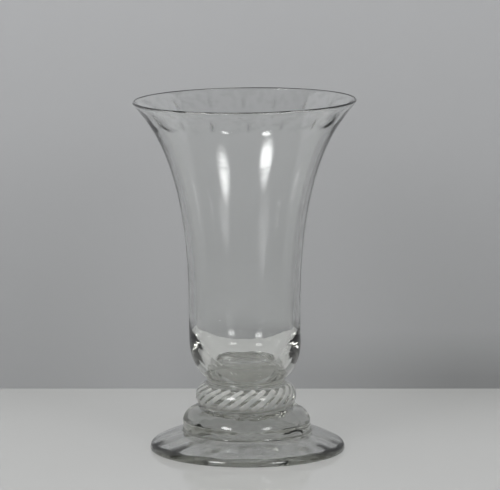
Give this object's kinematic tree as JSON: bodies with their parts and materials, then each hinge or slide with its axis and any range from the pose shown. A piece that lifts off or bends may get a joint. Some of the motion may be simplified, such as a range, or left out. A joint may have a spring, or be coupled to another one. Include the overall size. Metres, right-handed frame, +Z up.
{
  "type": "jelly glass",
  "caption": "Tall trumpet-shaped jelly glass with a thick rounded base, a knop with a white spiral twist, a rounded step and a domed foot.",
  "frame": {"origin": "on the axis of turning, level with the ring that the foot rests on", "axes": "+Z up along the axis of turning, from the foot to the rim; -Y towards the viewer of the picture"},
  "size_m": [0.0691, 0.0692, 0.109],
  "materials": {
    "clear_glass": "fire-polished clear glass with a faint grey tone",
    "white_glass": "smooth opaque white glass"
  },
  "bodies": {
    "root": {"bowl": "clear_glass", "neck_ring": "clear_glass", "knop": "clear_glass", "foot_step": "clear_glass", "foot": "clear_glass", "pontil_scar": "clear_glass", "twist_thread_01": "white_glass", "twist_thread_02": "white_glass", "twist_thread_03": "white_glass", "twist_thread_04": "white_glass", "twist_thread_05": "white_glass", "twist_thread_06": "white_glass", "twist_thread_07": "white_glass", "twist_thread_08": "white_glass", "twist_thread_09": "white_glass", "twist_thread_10": "white_glass", "twist_thread_11": "white_glass", "twist_thread_12": "white_glass", "twist_thread_13": "white_glass", "twist_thread_14": "white_glass", "twist_thread_15": "white_glass", "twist_thread_16": "white_glass", "twist_thread_17": "white_glass", "twist_thread_18": "white_glass", "twist_thread_19": "white_glass", "twist_thread_20": "white_glass", "twist_thread_21": "white_glass", "twist_thread_22": "white_glass", "twist_thread_23": "white_glass", "twist_thread_24": "white_glass"}
  },
  "joints": []
}
